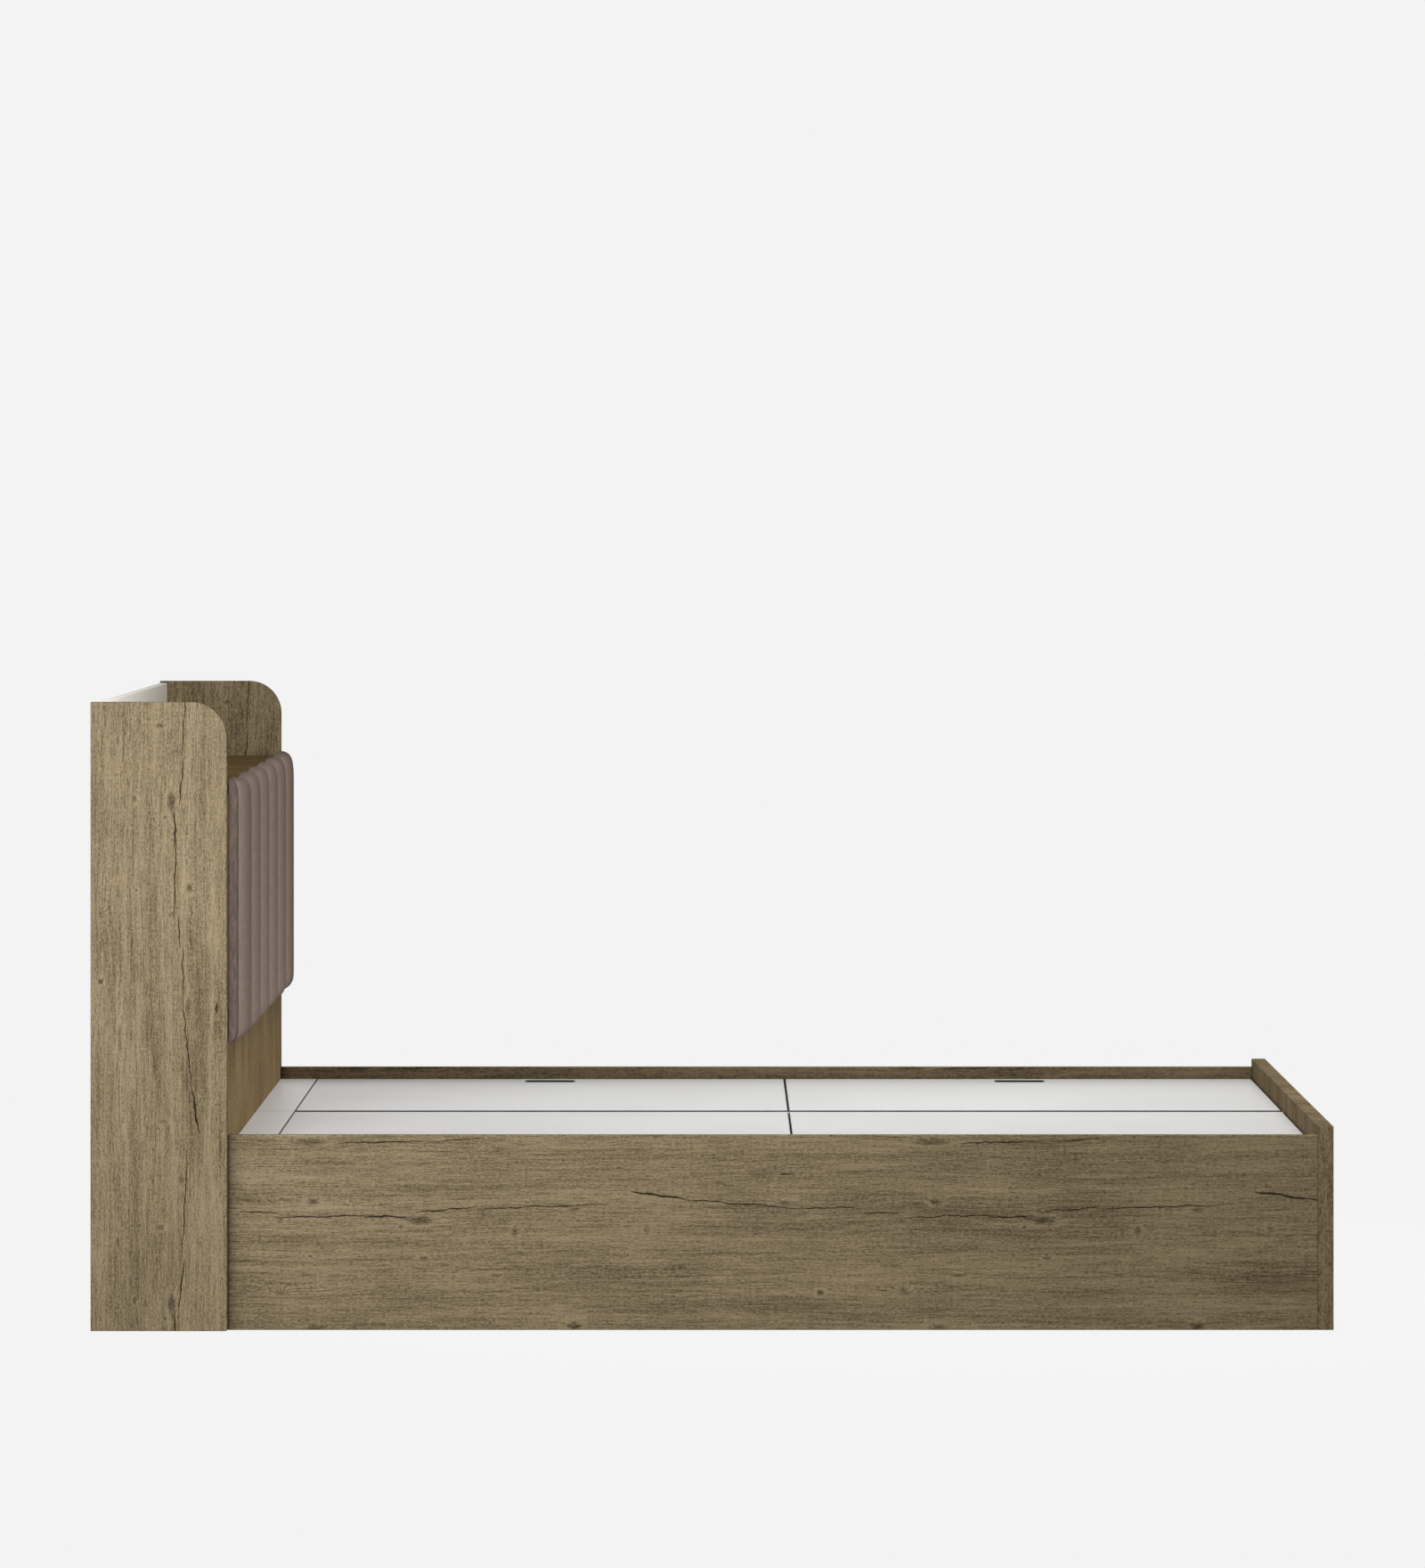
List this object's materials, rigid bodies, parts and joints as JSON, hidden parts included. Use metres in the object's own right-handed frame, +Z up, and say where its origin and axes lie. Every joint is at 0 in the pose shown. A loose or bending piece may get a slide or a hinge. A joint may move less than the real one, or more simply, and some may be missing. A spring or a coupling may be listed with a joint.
{
  "type": "storage bed",
  "caption": "Queen-size box storage bed with a shelved headboard, a channelled upholstered back pad and white deck lids that hinge up on the centre line.",
  "frame": {"origin": "on the floor under the middle of the whole bed", "axes": "+X from the headboard to the foot, +Y to the right seen from the foot, +Z up"},
  "size_m": [2.263, 1.602, 1.144],
  "materials": {
    "oak_laminate": "matt oak-look laminate with knots and cracks",
    "white_laminate": "smooth matt white laminate",
    "pad_cover": "soft taupe cover over foam",
    "plywood": "raw plywood",
    "batten_wood": "planed softwood",
    "dowel_wood": "fluted beech",
    "hinge_steel": "dark satin coat",
    "zinc_steel": "zinc plate"
  },
  "bodies": {
    "bedstead": {"headboard_left_side": "oak_laminate", "headboard_right_side": "oak_laminate", "headboard_front_panel": "oak_laminate", "headboard_shelf": "oak_laminate", "left_rail": "oak_laminate", "right_rail": "oak_laminate", "footboard": "oak_laminate", "headboard_back": "white_laminate", "headboard_base": "white_laminate", "headboard_divider": "white_laminate", "centre_partition": "white_laminate", "cross_partition": "white_laminate", "filler_strip": "white_laminate", "floor_panel_head_left": "white_laminate", "floor_panel_head_right": "white_laminate", "floor_panel_foot_left": "white_laminate", "floor_panel_foot_right": "white_laminate", "pad_cushion": "pad_cover", "pad_board": "plywood", "head_ledger_left": "batten_wood", "head_ledger_right": "batten_wood", "foot_ledger_left": "batten_wood", "foot_ledger_right": "batten_wood", "head_bearer_left": "batten_wood", "head_bearer_right": "batten_wood", "rail_ledger_head_left": "batten_wood", "rail_ledger_head_right": "batten_wood", "rail_ledger_foot_left": "batten_wood", "rail_ledger_foot_right": "batten_wood", "centre_cleat_head_left": "batten_wood", "centre_cleat_head_right": "batten_wood", "centre_cleat_foot_left": "batten_wood", "centre_cleat_foot_right": "batten_wood", "floor_battens_left": "batten_wood", "floor_battens_right": "batten_wood", "shelf_cleats": "batten_wood", "base_cleats": "batten_wood", "headboard_dowels": "dowel_wood", "hinge_fixed_leaf_head_left": "hinge_steel", "hinge_fixed_leaf_head_right": "hinge_steel", "hinge_fixed_leaf_foot_left": "hinge_steel", "hinge_fixed_leaf_foot_right": "hinge_steel", "hinge_pin_head_left": "zinc_steel", "hinge_pin_head_right": "zinc_steel", "hinge_pin_foot_left": "zinc_steel", "hinge_pin_foot_right": "zinc_steel", "corner_brackets": "zinc_steel", "partition_brackets": "zinc_steel", "pad_bolts": "zinc_steel"},
    "head_left_lid": {"lid_head_left": "white_laminate", "hinge_lid_leaf_head_left": "hinge_steel"},
    "head_right_lid": {"lid_head_right": "white_laminate", "hinge_lid_leaf_head_right": "hinge_steel"},
    "foot_left_lid": {"lid_foot_left": "white_laminate", "hinge_lid_leaf_foot_left": "hinge_steel"},
    "foot_right_lid": {"lid_foot_right": "white_laminate", "hinge_lid_leaf_foot_right": "hinge_steel"}
  },
  "joints": [
    {"name": "lid_head_left_hinge", "type": "hinge", "parent": "bedstead", "child": "head_left_lid", "pos_m": [-0.33075, -0.0116, 0.3285], "axis": [-1, 0, 0], "range_deg": [0, 90]},
    {"name": "lid_head_right_hinge", "type": "hinge", "parent": "bedstead", "child": "head_right_lid", "pos_m": [-0.33075, 0.0116, 0.3285], "axis": [1, 0, 0], "range_deg": [0, 90]},
    {"name": "lid_foot_left_hinge", "type": "hinge", "parent": "bedstead", "child": "foot_left_lid", "pos_m": [0.62475, -0.0116, 0.3285], "axis": [-1, 0, 0], "range_deg": [0, 90]},
    {"name": "lid_foot_right_hinge", "type": "hinge", "parent": "bedstead", "child": "foot_right_lid", "pos_m": [0.62475, 0.0116, 0.3285], "axis": [1, 0, 0], "range_deg": [0, 90]}
  ]
}
